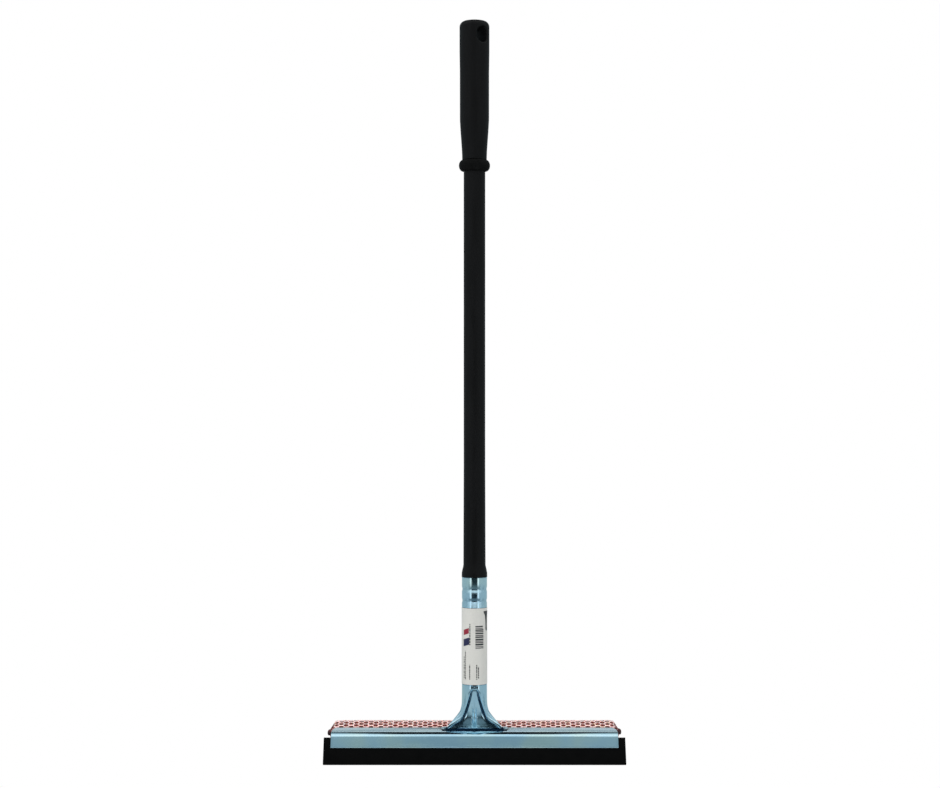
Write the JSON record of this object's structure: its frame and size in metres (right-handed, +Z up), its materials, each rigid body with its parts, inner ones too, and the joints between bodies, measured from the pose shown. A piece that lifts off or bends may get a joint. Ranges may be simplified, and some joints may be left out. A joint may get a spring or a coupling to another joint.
{
  "type": "window cleaning squeegee",
  "caption": "Long-handled window cleaning squeegee with a folded steel head, a rubber blade in front, a netted scrubbing sponge behind and a black plastic handle with a hanging slot.",
  "frame": {"origin": "middle of the rubber blade's wiping face", "axes": "+Z up along the handle's axis, +X along the blade, +Y to the back where the sponge is"},
  "size_m": [0.254, 0.063, 0.6281],
  "materials": {
    "black_plastic": "satin moulded polypropylene",
    "ring_rubber": "smooth soft rubber",
    "blade_rubber": "smooth matt rubber",
    "zinc_steel": "bright bluish zinc plating on rolled steel",
    "sponge_foam": "open-celled foam",
    "net_nylon": "knotless plastic net",
    "label_paper": "coated paper",
    "core_wood": "plain turned dowel"
  },
  "bodies": {
    "root": {"grip": "black_plastic", "drip_ring": "ring_rubber", "handle_shaft": "black_plastic", "spigot_core": "core_wood", "ferrule": "zinc_steel", "product_label": "label_paper", "head_shell": "zinc_steel", "backing_plate": "zinc_steel", "foot_rivet_left": "zinc_steel", "foot_rivet_right": "zinc_steel", "rubber_blade": "blade_rubber", "scrubber_sponge": "sponge_foam", "scrubber_mesh": "net_nylon"}
  },
  "joints": []
}
